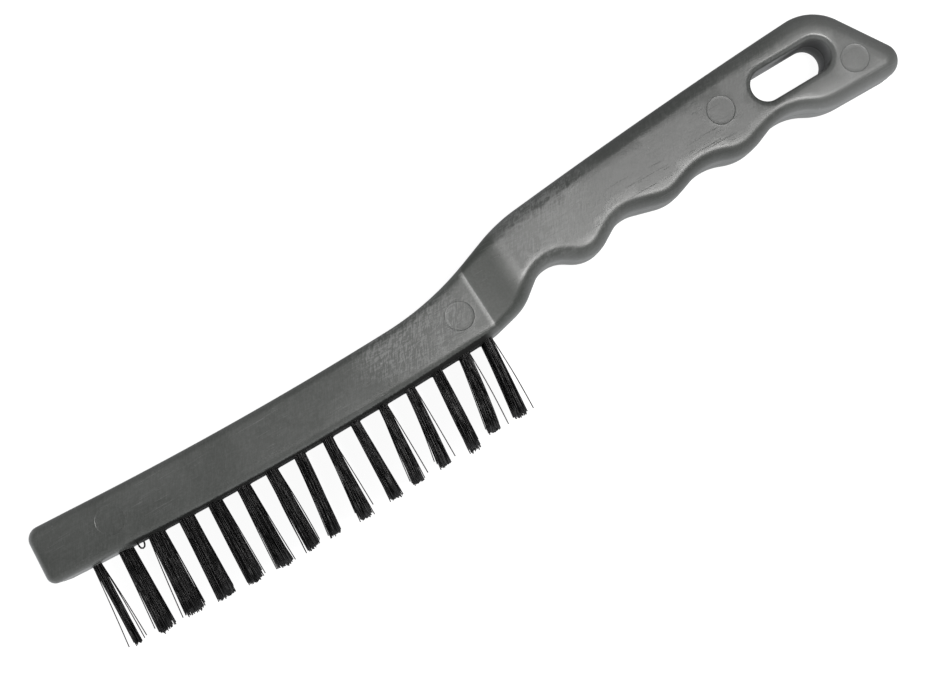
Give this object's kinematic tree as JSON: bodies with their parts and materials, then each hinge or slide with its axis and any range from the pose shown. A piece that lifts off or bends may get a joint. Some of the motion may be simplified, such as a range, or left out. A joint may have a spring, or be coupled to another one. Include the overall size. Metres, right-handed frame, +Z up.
{
  "type": "wire scratch brush",
  "caption": "Hand-held wire scratch brush: moulded plastic handle with finger grooves and a hanging slot, and a straight block carrying rows of steel wire tufts.",
  "frame": {"origin": "centre of the brush's box as it lies on its side, on the surface it lies on", "axes": "+X along the brush towards the hanging end, -Y the way the bristles point, +Z up out of the handle's broad side"},
  "size_m": [0.2898, 0.0644, 0.025],
  "materials": {
    "handle_plastic": "moulded, semi-matt, handled",
    "wire": "dark tempered steel wire",
    "anchor_steel": "plain flat wire"
  },
  "bodies": {
    "root": {"handle": "handle_plastic", "tufts_01": "wire", "tufts_02": "wire", "tufts_03": "wire", "tufts_04": "wire", "tufts_05": "wire", "tufts_06": "wire", "tufts_07": "wire", "tufts_08": "wire", "tufts_09": "wire", "tufts_10": "wire", "tufts_11": "wire", "tufts_12": "wire", "tufts_13": "wire", "tufts_14": "wire", "tufts_15": "wire", "anchors_01": "anchor_steel", "anchors_02": "anchor_steel", "anchors_03": "anchor_steel", "anchors_04": "anchor_steel", "anchors_05": "anchor_steel", "anchors_06": "anchor_steel", "anchors_07": "anchor_steel", "anchors_08": "anchor_steel", "anchors_09": "anchor_steel", "anchors_10": "anchor_steel", "anchors_11": "anchor_steel", "anchors_12": "anchor_steel", "anchors_13": "anchor_steel", "anchors_14": "anchor_steel", "anchors_15": "anchor_steel"}
  },
  "joints": []
}
